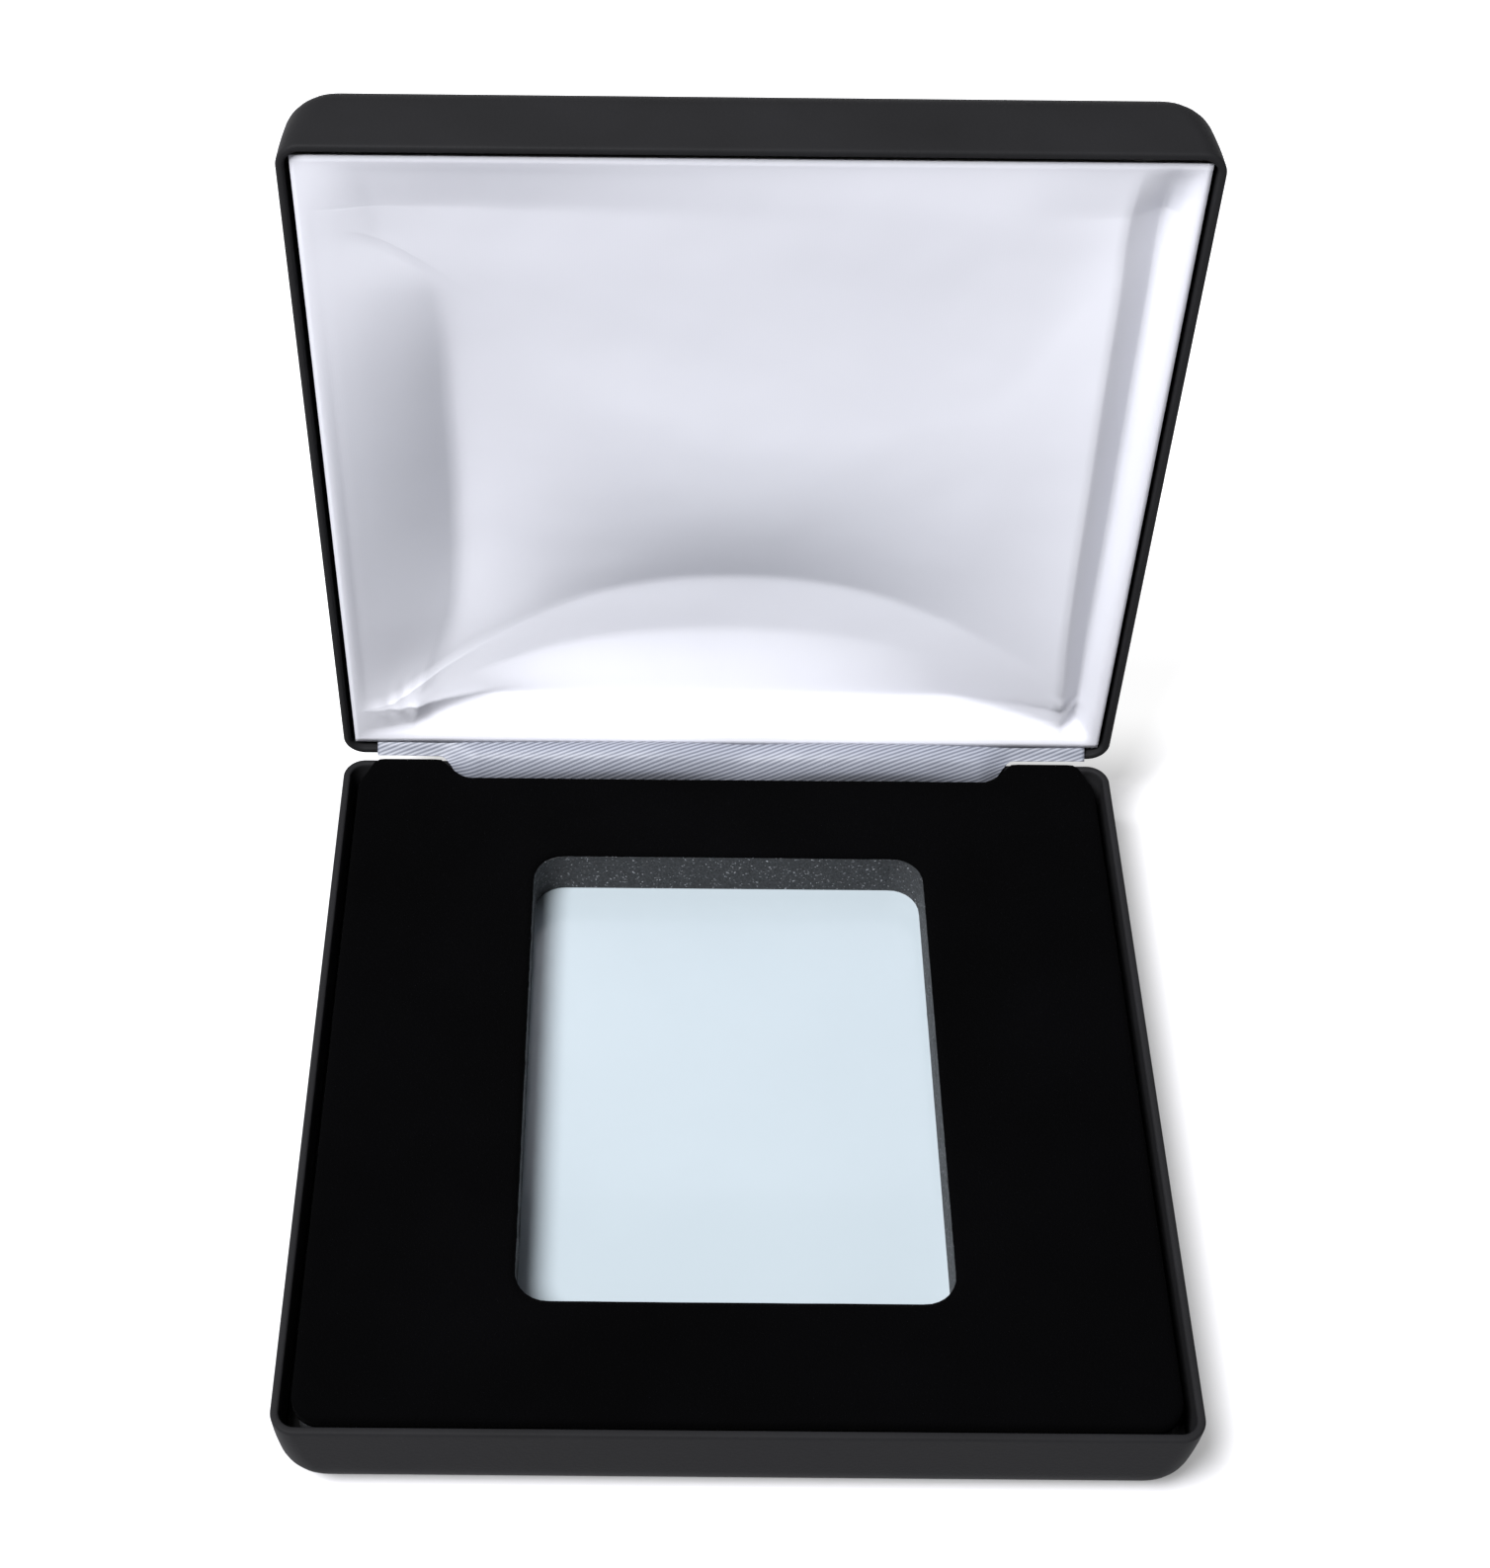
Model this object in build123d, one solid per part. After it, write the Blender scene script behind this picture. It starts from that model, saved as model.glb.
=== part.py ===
# Hinged coin display case: two pressed steel trays covered in leatherette, joined by a snap hinge,
# with a flocked foam insert in the base and a padded satin lining in the lid.
# Millimetres, +Z up, +Y towards the hinge. The origin is the middle of the base's underside.
# Every lid piece is drawn as the base is, open side up and hinge to +Y, then turned over on the hinge.
from build123d import *
import os

# The two trays
case_width = 108.0           # along X, outside
case_depth = 103.0           # along Y, outside
tray_height = 14.5           # of each tray, outside
edge_radius = 6.0            # where the walls roll into the flat of the tray
corner_radius = 2.0          # of the upright corners
leatherette = 0.3            # thickness of the covering
steel = 0.4                  # sheet of the trays
turn_in = 5.0                # how far the covering goes down inside the rim
rim_gap = 0.6                # between the two rims when the case is shut

# The hinge
hinge_length = 70.0
hinge_sheet = 0.6
hinge_overhang = 0.25        # the axis lies this far behind the back walls
knuckle_count = 7            # odd: the base leaf has the end ones
knuckle_radius = 1.25
knuckle_play = 0.2           # along X between two knuckles
cam_half_side = 1.6          # of the lid leaf's square knuckles, which the spring strip rides on
cam_corner = 1.1
pin_radius = 0.6
pin_clearance = 0.05
leaf_height = 7.2            # from the axis to the free edge of a leaf
web_height = 2.0             # from the axis to where a leaf steps out of its plate
leaf_clearance = 0.3         # between a leaf's plate and the other leaf's knuckles
notch_margin = 0.7           # around the knuckles, in the back walls
open_angle = 90.0            # of the lid, at its stop

# The snap spring
spring_length = 58.0
spring_thickness = 0.35
spring_lead = 0.9            # how far the strip stands above the axis
spring_foot = 0.2            # how far its lower edge stands above the leaf's
rivet_count = 2
rivet_radius = 0.8
rivet_clearance = 0.02
rivet_head_radius = 1.5
rivet_head = 0.3
rivet_rise = 2.2             # from the leaf's lower edge to the rivets

# The insert
floor_height = 7.4           # top of the floor card
floor_card_thickness = 0.6
floor_card_gap = 0.4         # around the card
insert_rise = 0.2            # of the velvet above the rim
velvet = 0.5
side_gap = 1.2               # between the insert and the tray's inside face
front_gap = 0.8
back_gap = 0.3
insert_corner = 3.5
insert_edge = 0.9            # rounding of the insert's top edge
step_width = 78.0            # shallow step at the insert's back, clear of the spring and the cloth
step_depth = 1.6
step_slant = 2.0
recess_width = 53.0          # cut-out for the coin holder
recess_depth = 68.5
recess_corner = 4.0

# The lid lining
liner_gap = 0.7              # between the lining's edge and the tray's inside face
liner_lip = 1.0              # the lining's edge lies this far inside the rim
liner_card = 0.7
flap_run = 10.5              # how far each sloped side of the card reaches in
satin = 0.3
# The satin's relief. Runs go inwards from the tray's inside face, depths go in from the rim.
lining_edge = 1.1            # depth of the satin at the card's edge
side_fold_run = 5.5
side_fold_depth = 1.9
hinge_fold_run = 6.6         # of the steeper strip along the hinge
hinge_fold_depth = 4.5
side_crease_run = 12.5       # where the sloped flaps end and the middle panel begins
corner_crease_run = 9.0
hinge_crease_run = 25.0
far_crease_run = 6.5
corner_depth = 4.2
side_depth = 7.8             # of each crease at its middle
hinge_depth = 9.7
far_depth = 7.4
crown_depth = 3.9            # of the panel's crown line, which sweeps from the two far corners
crown_run = 57.0             # of the crown line from the hinge side, in the middle
crown_corner_run = 83.0
crown_mid_share = 0.72       # how far the crown line has swept down half way out

# The cloth over the hinge
cloth = 0.3
cloth_gap = 0.05             # between the cloth and the rivet heads
cloth_width = 96.0
cloth_middle = 71.0          # the part that steps forward over the spring
cloth_slant = 1.8
cloth_drop = 6.0             # below the rim
cloth_rise = 0.2             # above the rim

# Sizes that follow
wall = 2 * leatherette + steel
floor_inside = leatherette + steel
half_width = case_width / 2
back = case_depth / 2
inside_back = back - wall
axis_y = back + hinge_overhang
axis_z = tray_height + rim_gap / 2
leaf_face = inside_back - hinge_sheet
leaf_low = axis_z - leaf_height
spring_face = leaf_face - spring_thickness
insert_top = tray_height + insert_rise
upward = (Align.CENTER, Align.CENTER, Align.MIN)


def tray_body(inset, top=tray_height):
    """The outer form of a tray, shrunk evenly by inset, filled and flat on top."""
    body = Pos(0, 0, inset) * Box(case_width - 2 * inset, case_depth - 2 * inset, top - inset, align=upward)
    body = fillet(body.faces().sort_by(Axis.Z)[0].edges(), edge_radius - inset)
    reach_x = half_width - edge_radius
    reach_y = back - edge_radius
    corners = [edge for edge in body.edges()
               if abs(edge.center().X) > reach_x and abs(edge.center().Y) > reach_y
               and edge.center().Z < top - 0.01]
    return fillet(corners, corner_radius - inset)


def band(low, high):
    """A slab wider than the case, between two heights."""
    return Pos(0, 0, low) * Box(2 * case_width, 2 * case_depth, high - low, align=upward)


def along_x(start, length, profile):
    """Extrude a profile drawn in Y and Z along X."""
    return Pos(start, 0, 0) * extrude(Plane.YZ * profile, length)


def wall_notch():
    """The clearance for the knuckles, cut out of a back wall."""
    low = axis_z - cam_half_side - notch_margin
    return Pos(0, back, low) * Box(hinge_length + 2 * notch_margin, 3 * wall, tray_height, align=upward)


def tray_shell():
    """Pressed steel tray."""
    return tray_body(leatherette, tray_height - leatherette) - tray_body(floor_inside) - wall_notch()


def tray_covering():
    """Leatherette skin: outside, over the rim and a short way down inside."""
    rim = tray_height - leatherette
    skin = tray_body(0) - tray_body(leatherette)
    rim_cap = (tray_body(0) - tray_body(wall)) & band(rim, tray_height)
    inner_skin = (tray_body(floor_inside) - tray_body(wall)) & band(tray_height - turn_in, tray_height)
    return skin + rim_cap + inner_skin - wall_notch()


def to_open_lid(piece):
    """Turn a lid piece over onto the base and swing it open to its stop."""
    shut = Pos(0, 0, 2 * axis_z) * Rot(0, 180, 0) * piece
    return Pos(0, axis_y, axis_z) * Rot(-open_angle, 0, 0) * Pos(0, -axis_y, -axis_z) * shut


def hinge_leaf(first, outer, reach):
    """A plate on the back wall, with every second knuckle rolled about the axis from the first on."""
    plate = Pos(leaf_face, leaf_low) * Rectangle(
        hinge_sheet, leaf_height - web_height + leaf_clearance, align=(Align.MIN, Align.MIN))
    web = Polygon((leaf_face, axis_z - web_height), (leaf_face + hinge_sheet, axis_z - web_height),
                  (axis_y - reach + hinge_sheet, axis_z - pin_radius), (axis_y - reach, axis_z),
                  align=None)
    bore = Circle(pin_radius + pin_clearance)
    knuckle = Pos(axis_y, axis_z) * outer + web - Pos(axis_y, axis_z) * bore
    leaf = along_x(-hinge_length / 2, hinge_length, plate)
    pitch = hinge_length / knuckle_count
    for index in range(first, knuckle_count, 2):
        start = -hinge_length / 2 + index * pitch + knuckle_play / 2
        leaf += along_x(start, pitch - knuckle_play, knuckle)
    return leaf


def rivet_places():
    """Where the rivets cross the leaf, as X positions."""
    pitch = spring_length / rivet_count
    return [(index - (rivet_count - 1) / 2) * pitch for index in range(rivet_count)]


def at_rivets(radius, start, length):
    """A rod of the given radius along +Y at every rivet."""
    rods = Part()
    for place in rivet_places():
        rods += Pos(place, start, leaf_low + rivet_rise) * Rot(-90, 0, 0) * Cylinder(radius, length, align=upward)
    return rods


def base_hinge_leaf():
    """Leaf with round knuckles, drilled for the rivets."""
    leaf = hinge_leaf(0, Circle(knuckle_radius), knuckle_radius)
    return leaf - at_rivets(rivet_radius + rivet_clearance, leaf_face - 1, hinge_sheet + 2)


def lid_hinge_leaf():
    """Leaf with square-rolled knuckles that act as the cams of the snap."""
    return hinge_leaf(1, RectangleRounded(2 * cam_half_side, 2 * cam_half_side, cam_corner), cam_half_side)


def hinge_pin():
    """Wire through all the knuckles."""
    return Pos(0, axis_y, axis_z) * Rot(0, 90, 0) * Cylinder(pin_radius, hinge_length)


def snap_spring():
    """Flat strip that the cams push back as the lid passes the middle of its swing."""
    low = leaf_low + spring_foot
    strip = Pos(0, spring_face + spring_thickness / 2, low) * Box(
        spring_length, spring_thickness, axis_z + spring_lead - low, align=upward)
    return strip - at_rivets(rivet_radius + rivet_clearance, spring_face - 1, spring_thickness + 2)


def spring_rivets():
    """Rivets through the strip and the leaf, heads on the strip."""
    heads = at_rivets(rivet_head_radius, spring_face - rivet_head, rivet_head)
    return heads + at_rivets(rivet_radius, spring_face - rivet_head, inside_back - spring_face + rivet_head)


def riser_block():
    """Spacer on the flat of the steel floor that lifts the insert to the rim."""
    height = floor_height - floor_card_thickness - floor_inside
    return Pos(0, 0, floor_inside) * Box(
        case_width - 2 * edge_radius, case_depth - 2 * edge_radius, height, align=upward)


def floor_card():
    """Glossy card on the riser, the floor of the recess."""
    inset = floor_inside + floor_card_gap
    card = RectangleRounded(case_width - 2 * inset, case_depth - 2 * inset, corner_radius)
    return Pos(0, 0, floor_height - floor_card_thickness) * extrude(card, floor_card_thickness)


def insert_block():
    """The whole insert: rounded outline, step at the back, cut-out for the coin holder."""
    front_edge = -(back - wall - front_gap)
    back_edge = inside_back - back_gap
    outline = Pos(0, (front_edge + back_edge) / 2) * RectangleRounded(
        case_width - 2 * (wall + side_gap), back_edge - front_edge, insert_corner)
    half_step = step_width / 2
    outline -= Polygon((-half_step, back_edge), (-half_step + step_slant, back_edge - step_depth),
                       (half_step - step_slant, back_edge - step_depth), (half_step, back_edge),
                       align=None)
    block = Pos(0, 0, floor_height) * extrude(outline, insert_top - floor_height)
    block = fillet(block.faces().sort_by(Axis.Z)[-1].edges(), insert_edge)
    recess = extrude(RectangleRounded(recess_width, recess_depth, recess_corner), 2 * insert_top)
    return block - recess


def insert_foam():
    """Foam body of the insert."""
    return insert_block() & band(floor_height, insert_top - velvet)


def insert_velvet():
    """Flocked face of the insert."""
    return insert_block() & band(insert_top - velvet, insert_top)


def crossing(space, across_x, across_y):
    """The part of a space inside two profiles that run right through it, one drawn across X, one across Y."""
    run_y = Pos(0, case_depth, 0) * extrude(Plane.XZ * across_x, 2 * case_depth)
    return space & run_y & along_x(-case_width, 2 * case_width, across_y)


def lining_hollow(inset):
    """The hollow above the lid lining's card, sides sloped, shrunk evenly by inset."""
    top = tray_height - liner_lip
    lean = flap_run / (top - floor_inside)
    edge_gap = wall + liner_gap + inset * (1 + lean ** 2) ** 0.5
    wedges = []
    for side in (half_width, back):
        half = side - edge_gap
        reach = lean * top
        wedges.append(Polygon((reach - half, 0), (half - reach, 0), (half + reach, 2 * top),
                              (-half - reach, 2 * top), align=None))
    return crossing(band(floor_inside + inset, top), *wedges)


def lining_columns():
    """For each column of the satin's relief: X, and how far it has left the side crease, 0 to 1."""
    crease = half_width - wall - side_crease_run
    places = [(crease, 0), (crease / 2, crown_mid_share), (0, 1), (-crease / 2, crown_mid_share), (-crease, 0)]
    return places


def lining_relief(lift):
    """Rows of points on the satin's underside, raised by lift: side edge to side edge, hinge side first."""
    reach_x, reach_y = half_width - wall, back - wall
    edge = lining_edge + satin

    def at(x, run, depth):
        return Vector(x, reach_y - run, tray_height - depth + lift)

    def between(low, high, share):
        return low + (high - low) * share

    far = 2 * reach_y
    rows = []
    for row in range(8):
        line = []
        for x, share in lining_columns():
            hinge_crease = between(corner_crease_run, hinge_crease_run, share)
            crown_line = between(crown_corner_run, crown_run, share)
            side = side_depth - corner_depth if share == 0 else 0
            valley = between(corner_depth, hinge_depth, share)
            crown = between(corner_depth, crown_depth, share)
            far_valley = between(corner_depth, far_depth, share)
            run, depth = [
                (0, edge),
                (hinge_fold_run, min(hinge_fold_depth, between(3.4, 5.2, share))),
                (hinge_crease, valley),
                (between(hinge_crease, crown_line, 0.5), between(crown, valley, 0.28) + side),
                (crown_line, crown + side * 0.6),
                (between(crown_line, far - far_crease_run, 0.5), between(crown, far_valley, 0.38) + side * 0.2),
                (far - far_crease_run, far_valley),
                (far, edge)][row]
            line.append(at(x, run, depth))
        first, last = line[0], line[-1]
        fold = edge if row in (0, 7) else side_fold_depth
        fold_x = reach_x - side_fold_run
        run_first = reach_y - first.Y
        ends = [at(reach_x, run_first, edge), at(fold_x, run_first, fold)]
        line = ends + line + [at(-fold_x, run_first, fold), at(-reach_x, run_first, edge)]
        rows.append(line)
    return rows


def under_satin(lift):
    """Everything under the satin's underside, raised by lift, as a solid with flat facets."""
    rows = lining_relief(lift)
    rings = []
    for low, high in zip(rows, rows[1:]):
        for i in range(len(low) - 1):
            rings.append((low[i], high[i], high[i + 1]))
            rings.append((low[i], high[i + 1], low[i + 1]))
    rim = rows[0] + [row[-1] for row in rows[1:]] + rows[-1][-2::-1] + [row[0] for row in rows[-2:0:-1]]
    foot = [Vector(point.X, point.Y, -1) for point in rim]
    for i in range(len(rim)):
        j = (i + 1) % len(rim)
        rings.append((rim[i], rim[j], foot[j], foot[i]))
    rings.append(foot)
    return Solid(Shell([Face(Wire.make_polygon(ring, close=True)) for ring in rings])).fix()


def lid_liner_card():
    """Card tray with sloped sides that carries the lid lining."""
    return lining_hollow(0) - lining_hollow(liner_card)


def lid_pad():
    """Wadding between the card tray and the satin."""
    return lining_hollow(liner_card) & under_satin(0)


def lid_satin():
    """Satin over the wadding: a strip and a flap along each side, and a crowned middle panel."""
    return (lining_hollow(liner_card) & under_satin(satin)) - under_satin(0)


def hinge_cloth():
    """Lower end of the cloth that hides the hinge, tucked in behind the insert."""
    side_face = inside_back - cloth
    middle_face = spring_face - rivet_head - cloth_gap - cloth
    half = cloth_width / 2
    half_middle = cloth_middle / 2
    front = [(-half, side_face), (-half_middle - cloth_slant, side_face), (-half_middle, middle_face),
             (half_middle, middle_face), (half_middle + cloth_slant, side_face), (half, side_face)]
    rear = [(x, y + cloth) for x, y in reversed(front)]
    strip = Polygon(*front, *rear, align=None)
    return Pos(0, 0, tray_height - cloth_drop) * extrude(strip, cloth_drop + cloth_rise)


base_pieces = [base_hinge_leaf, hinge_pin, snap_spring, spring_rivets, riser_block, floor_card,
               insert_foam, insert_velvet, hinge_cloth]
lid_pieces = [lid_hinge_leaf, lid_liner_card, lid_pad, lid_satin]

nodes = {"base_shell": tray_shell(), "base_covering": tray_covering(),
         "lid_shell": to_open_lid(tray_shell()), "lid_covering": to_open_lid(tray_covering())}
for piece in base_pieces:
    nodes[piece.__name__] = piece()
for piece in lid_pieces:
    nodes[piece.__name__] = to_open_lid(piece())

os.makedirs("parts", exist_ok=True)
for name, shape in nodes.items():
    export_step(shape, f"parts/{name}.step")
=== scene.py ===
import math
import bmesh
import bpy
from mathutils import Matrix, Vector, noise


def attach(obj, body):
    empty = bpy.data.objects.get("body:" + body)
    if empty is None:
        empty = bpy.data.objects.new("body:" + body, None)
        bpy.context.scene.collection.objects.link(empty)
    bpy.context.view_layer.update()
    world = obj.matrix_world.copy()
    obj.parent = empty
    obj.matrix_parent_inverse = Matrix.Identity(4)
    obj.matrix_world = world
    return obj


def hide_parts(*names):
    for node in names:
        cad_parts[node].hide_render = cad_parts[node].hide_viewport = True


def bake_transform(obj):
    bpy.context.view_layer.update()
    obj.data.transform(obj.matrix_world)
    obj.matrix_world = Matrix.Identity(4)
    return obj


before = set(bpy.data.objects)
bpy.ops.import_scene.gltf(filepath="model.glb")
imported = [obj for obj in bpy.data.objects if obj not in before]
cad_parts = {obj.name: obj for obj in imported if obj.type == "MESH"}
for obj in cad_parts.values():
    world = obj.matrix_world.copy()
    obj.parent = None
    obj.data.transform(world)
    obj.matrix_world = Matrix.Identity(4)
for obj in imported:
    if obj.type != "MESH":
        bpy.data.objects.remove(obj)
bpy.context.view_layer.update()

mm = 0.001
metre = 1000  # in mm: over a pattern's size it is that pattern's scale


def tint(code):  # sRGB hex to linear colour
    parts = [int(code[i:i + 2], 16) / 255 for i in (1, 3, 5)]
    return tuple(p / 12.92 if p <= 0.04045 else ((p + 0.055) / 1.055) ** 2.4 for p in parts) + (1.0,)


def addNode(tree, kind, inputs=None, **settings):
    node = tree.nodes.new(kind)
    for name, value in settings.items():
        setattr(node, name, value)
    for key, value in (inputs or {}).items():
        if isinstance(value, bpy.types.NodeSocket):
            tree.links.new(value, node.inputs[key])
        else:
            node.inputs[key].default_value = value
    return node


def newMaterial(name, coordinates="Object"):
    material = bpy.data.materials.new(name)
    material.use_nodes = True
    tree = material.node_tree
    tree.nodes.clear()
    output = tree.nodes.new("ShaderNodeOutputMaterial")
    shader = tree.nodes.new("ShaderNodeBsdfPrincipled")
    tree.links.new(shader.outputs[0], output.inputs[0])
    place = addNode(tree, "ShaderNodeTexCoord").outputs[coordinates]
    return material, tree, shader, place


def finishSurface(tree, shader, look, pattern, relief):  # two tones mixed by a pattern, a relief, plain values
    first, second = (tint(code) for code in look["tones"])
    mixed = addNode(tree, "ShaderNodeMix", {"Factor": pattern, "A": first, "B": second},
                    data_type="RGBA").outputs["Result"]
    bump = addNode(tree, "ShaderNodeBump", {"Height": relief, "Distance": look["depth"] * mm,
                                            "Strength": look["strength"]})
    tree.links.new(mixed, shader.inputs["Base Color"])
    tree.links.new(bump.outputs[0], shader.inputs["Normal"])
    for name, value in look["plain"].items():
        shader.inputs[name].default_value = value
    return mixed


def farthestSide(tree, place):  # the larger distance from the middle, across or along
    parts = addNode(tree, "ShaderNodeSeparateXYZ", {"Vector": place}).outputs
    sides = [addNode(tree, "ShaderNodeMath", {0: parts[k]}, operation="ABSOLUTE").outputs[0] for k in (0, 1)]
    return addNode(tree, "ShaderNodeMath", {0: sides[0], 1: sides[1]}, operation="MAXIMUM").outputs[0]


def fade(value, low, high):  # 0 below low, 1 above high, smooth between
    t = min(1.0, max(0.0, (value - low) / (high - low)))
    return t * t * (3 - 2 * t)


def through(points, at):  # smooth curve through a few (position, value) pairs
    if at <= points[0][0]:
        return points[0][1]
    if at >= points[-1][0]:
        return points[-1][1]
    i = next(k for k in range(1, len(points)) if at <= points[k][0])
    (x0, y0), (x1, y1) = points[i - 1], points[i]
    before, after = points[max(0, i - 2)], points[min(len(points) - 1, i + 1)]
    width = x1 - x0
    t = (at - x0) / width
    rise0 = (y1 - before[1]) / (x1 - before[0]) * width
    rise1 = (after[1] - y0) / (after[0] - x0) * width
    return ((2 * t ** 3 - 3 * t ** 2 + 1) * y0 + (t ** 3 - 2 * t ** 2 + t) * rise0
            + (3 * t ** 2 - 2 * t ** 3) * y1 + (t ** 3 - t ** 2) * rise1)


def ripple(x, y, waves):  # soft noises added up; each has a height, a size and a seed, lengths in mm
    return sum(height * noise.noise(Vector((x / size, y / size, seed))) for height, size, seed in waves)


def quarterTurn(cells):  # the angles of a quarter circle
    return [math.pi / 2 * k / cells for k in range(cells + 1)]


def steps(counts):  # logical positions with that many cells in each strip
    places = [0.0]
    for cell, count in enumerate(counts):
        places += [cell + (i + 1) / count for i in range(count)]
    return places


def gridSheet(columns, rows):  # a flat grid, and the column and row value of each vertex
    mesh = bmesh.new()
    across, up = len(columns) - 1, len(rows) - 1
    bmesh.ops.create_grid(mesh, x_segments=across, y_segments=up, size=1)
    home = {vertex: (columns[round((vertex.co.x + 1) / 2 * across)], rows[round((vertex.co.y + 1) / 2 * up)])
            for vertex in mesh.verts}
    return mesh, home


def layUvs(mesh, flat):  # each vertex's place on the flat cloth, from mm to metres
    layer = mesh.loops.layers.uv.verify()
    for face in mesh.faces:
        for loop in face.loops:
            loop[layer].uv = [v * mm for v in flat[loop.vert]]


def newVerts(result):
    return {v for v in result["geom"] if isinstance(v, bmesh.types.BMVert)}


def finishPiece(name, mesh, material, body=None, smooth=True):
    data = bpy.data.meshes.new(name)
    mesh.to_mesh(data)
    mesh.free()
    piece = bpy.data.objects.new(name, data)
    bpy.context.scene.collection.objects.link(piece)
    data.materials.append(material)
    for face in data.polygons:
        face.use_smooth = smooth
    if body:
        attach(piece, body)
    return piece


def thicken(piece, thickness, **settings):  # a wall inwards from the side that shows
    skin = piece.modifiers.new("thickness", "SOLIDIFY")
    skin.thickness, skin.offset = thickness * mm, -1
    for name, value in settings.items():
        setattr(skin, name, value)


# Camera: place in mm, turn in degrees, lens and sensor in mm, clip in metres.
camera = {"place": (-11.016, -189.96, 288.56), "turn": (42.9813, -0.4768, 0.2759), "lens": 59.15, "sensor": 36,
          "shift": (0.05647, -0.06019), "clip": (0.005, 20)}
eye = bpy.data.cameras.new("camera")
eye.lens, eye.sensor_width = camera["lens"], camera["sensor"]
eye.shift_x, eye.shift_y = camera["shift"]
eye.clip_start, eye.clip_end = camera["clip"]
eyeObject = bpy.data.objects.new("camera", eye)
eyeObject.location = [v * mm for v in camera["place"]]
eyeObject.rotation_euler = [math.radians(v) for v in camera["turn"]]
bpy.context.scene.collection.objects.link(eyeObject)
bpy.context.scene.camera = eyeObject
bpy.context.scene.view_settings.view_transform = "Standard"
print("camera placed")


# In each material's dictionary the sizes of its patterns and the depth of its relief are in mm.
# Leatherette: vinyl-coated paper, embossed with a fine grain. Near black, with a soft broken gloss.
leatherette = {"tones": ("#1b1b1c", "#222224"), "roughness": (0.5, 0.63), "grain": 0.45, "pore": 0.3846,
               "patch": 16.667, "depth": 0.02, "strength": 1.0,
               "plain": {"IOR": 1.5, "Specular IOR Level": 0.03}}
leatheretteMaterial, tree, shader, place = newMaterial("embossedLeatherette")
grain = addNode(tree, "ShaderNodeTexVoronoi", {"Vector": place, "Scale": metre / leatherette["grain"],
                                               "Randomness": 0.9}, feature="SMOOTH_F1")
pores = addNode(tree, "ShaderNodeTexNoise", {"Vector": place, "Scale": metre / leatherette["pore"],
                                             "Detail": 3.0})
height = addNode(tree, "ShaderNodeMath", {0: grain.outputs["Distance"], 1: pores.outputs["Fac"]},
                 operation="ADD")
patches = addNode(tree, "ShaderNodeTexNoise", {"Vector": place, "Scale": metre / leatherette["patch"],
                                               "Detail": 4.0}).outputs["Fac"]
gloss = addNode(tree, "ShaderNodeMapRange", {"Value": patches, "To Min": leatherette["roughness"][0],
                                             "To Max": leatherette["roughness"][1]})
finishSurface(tree, shader, leatherette, patches, height.outputs[0])
tree.links.new(gloss.outputs[0], shader.inputs["Roughness"])


# Steel strip: rolled along X, so its fine lines stretch the highlights across them.
steel = {"lineLength": 8.3333, "lineWidth": 0.28571, "spot": 3.3333, "spread": (-0.08, 0.12), "depth": 0.003,
         "strength": 0.6, "plain": {"Metallic": 1.0}}


def rolledSteel(name, tones, roughness):
    material, tree, shader, place = newMaterial(name)
    scale = (metre / steel["lineLength"], metre / steel["lineWidth"], metre / steel["lineWidth"])
    drawn = addNode(tree, "ShaderNodeMapping", {"Vector": place, "Scale": scale})
    lines = addNode(tree, "ShaderNodeTexNoise", {"Vector": drawn.outputs[0], "Scale": 1.0,
                                                 "Detail": 4.0}).outputs["Fac"]
    spots = addNode(tree, "ShaderNodeTexNoise", {"Vector": place, "Scale": metre / steel["spot"],
                                                 "Detail": 5.0}).outputs["Fac"]
    rough = addNode(tree, "ShaderNodeMapRange", {"Value": lines, "To Min": roughness + steel["spread"][0],
                                                 "To Max": roughness + steel["spread"][1]})
    finishSurface(tree, shader, dict(steel, tones=tones), spots, lines)
    tree.links.new(rough.outputs[0], shader.inputs["Roughness"])
    return material


coldRolledSteel = rolledSteel("coldRolledSteel", ("#a9a8a6", "#8f8e8c"), 0.38)  # plain grey sheet
zincPlatedSteel = rolledSteel("zincPlatedSteel", ("#c4c6c8", "#a8abae"), 0.28)  # brighter, slightly blue
bluedSpringSteel = rolledSteel("bluedSpringSteel", ("#4a4d55", "#3a3c46"), 0.3)  # dark blue-grey temper

# Coated card: smooth pale board with a clear gloss coat that faintly mirrors the cut foam. Its tones are greyer
# than the pale board: painted shade of the foam-walled well it lies in. Its border is black.
card = {"tones": ("#98a2a9", "#a0aab1"), "border": "#101011", "whiteHalf": 40.0, "cloud": 40.0, "wave": 11.11,
        "depth": 0.02, "strength": 0.5,
        "plain": {"Roughness": 0.16, "Coat Weight": 0.35, "Coat Roughness": 0.08}}
coatedCard, tree, shader, place = newMaterial("coatedCard")
cloud = addNode(tree, "ShaderNodeTexNoise", {"Vector": place, "Scale": metre / card["cloud"], "Detail": 3.0})
wave = addNode(tree, "ShaderNodeTexNoise", {"Vector": place, "Scale": metre / card["wave"], "Detail": 2.0})
# the greyed tones carry the painted shade of the well
shadedBoard = finishSurface(tree, shader, card, cloud.outputs["Fac"], wave.outputs["Fac"])
# beyond 40 mm from the middle, where the card shows in the gaps beside the insert, it is black
border = addNode(tree, "ShaderNodeMath", {0: farthestSide(tree, place), 1: card["whiteHalf"] * mm},
                 operation="GREATER_THAN")
blackBordered = addNode(tree, "ShaderNodeMix", {"Factor": border.outputs[0], "A": shadedBoard, "B": tint(card["border"])},
                  data_type="RGBA")
tree.links.new(blackBordered.outputs["Result"], shader.inputs["Base Color"])

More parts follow.
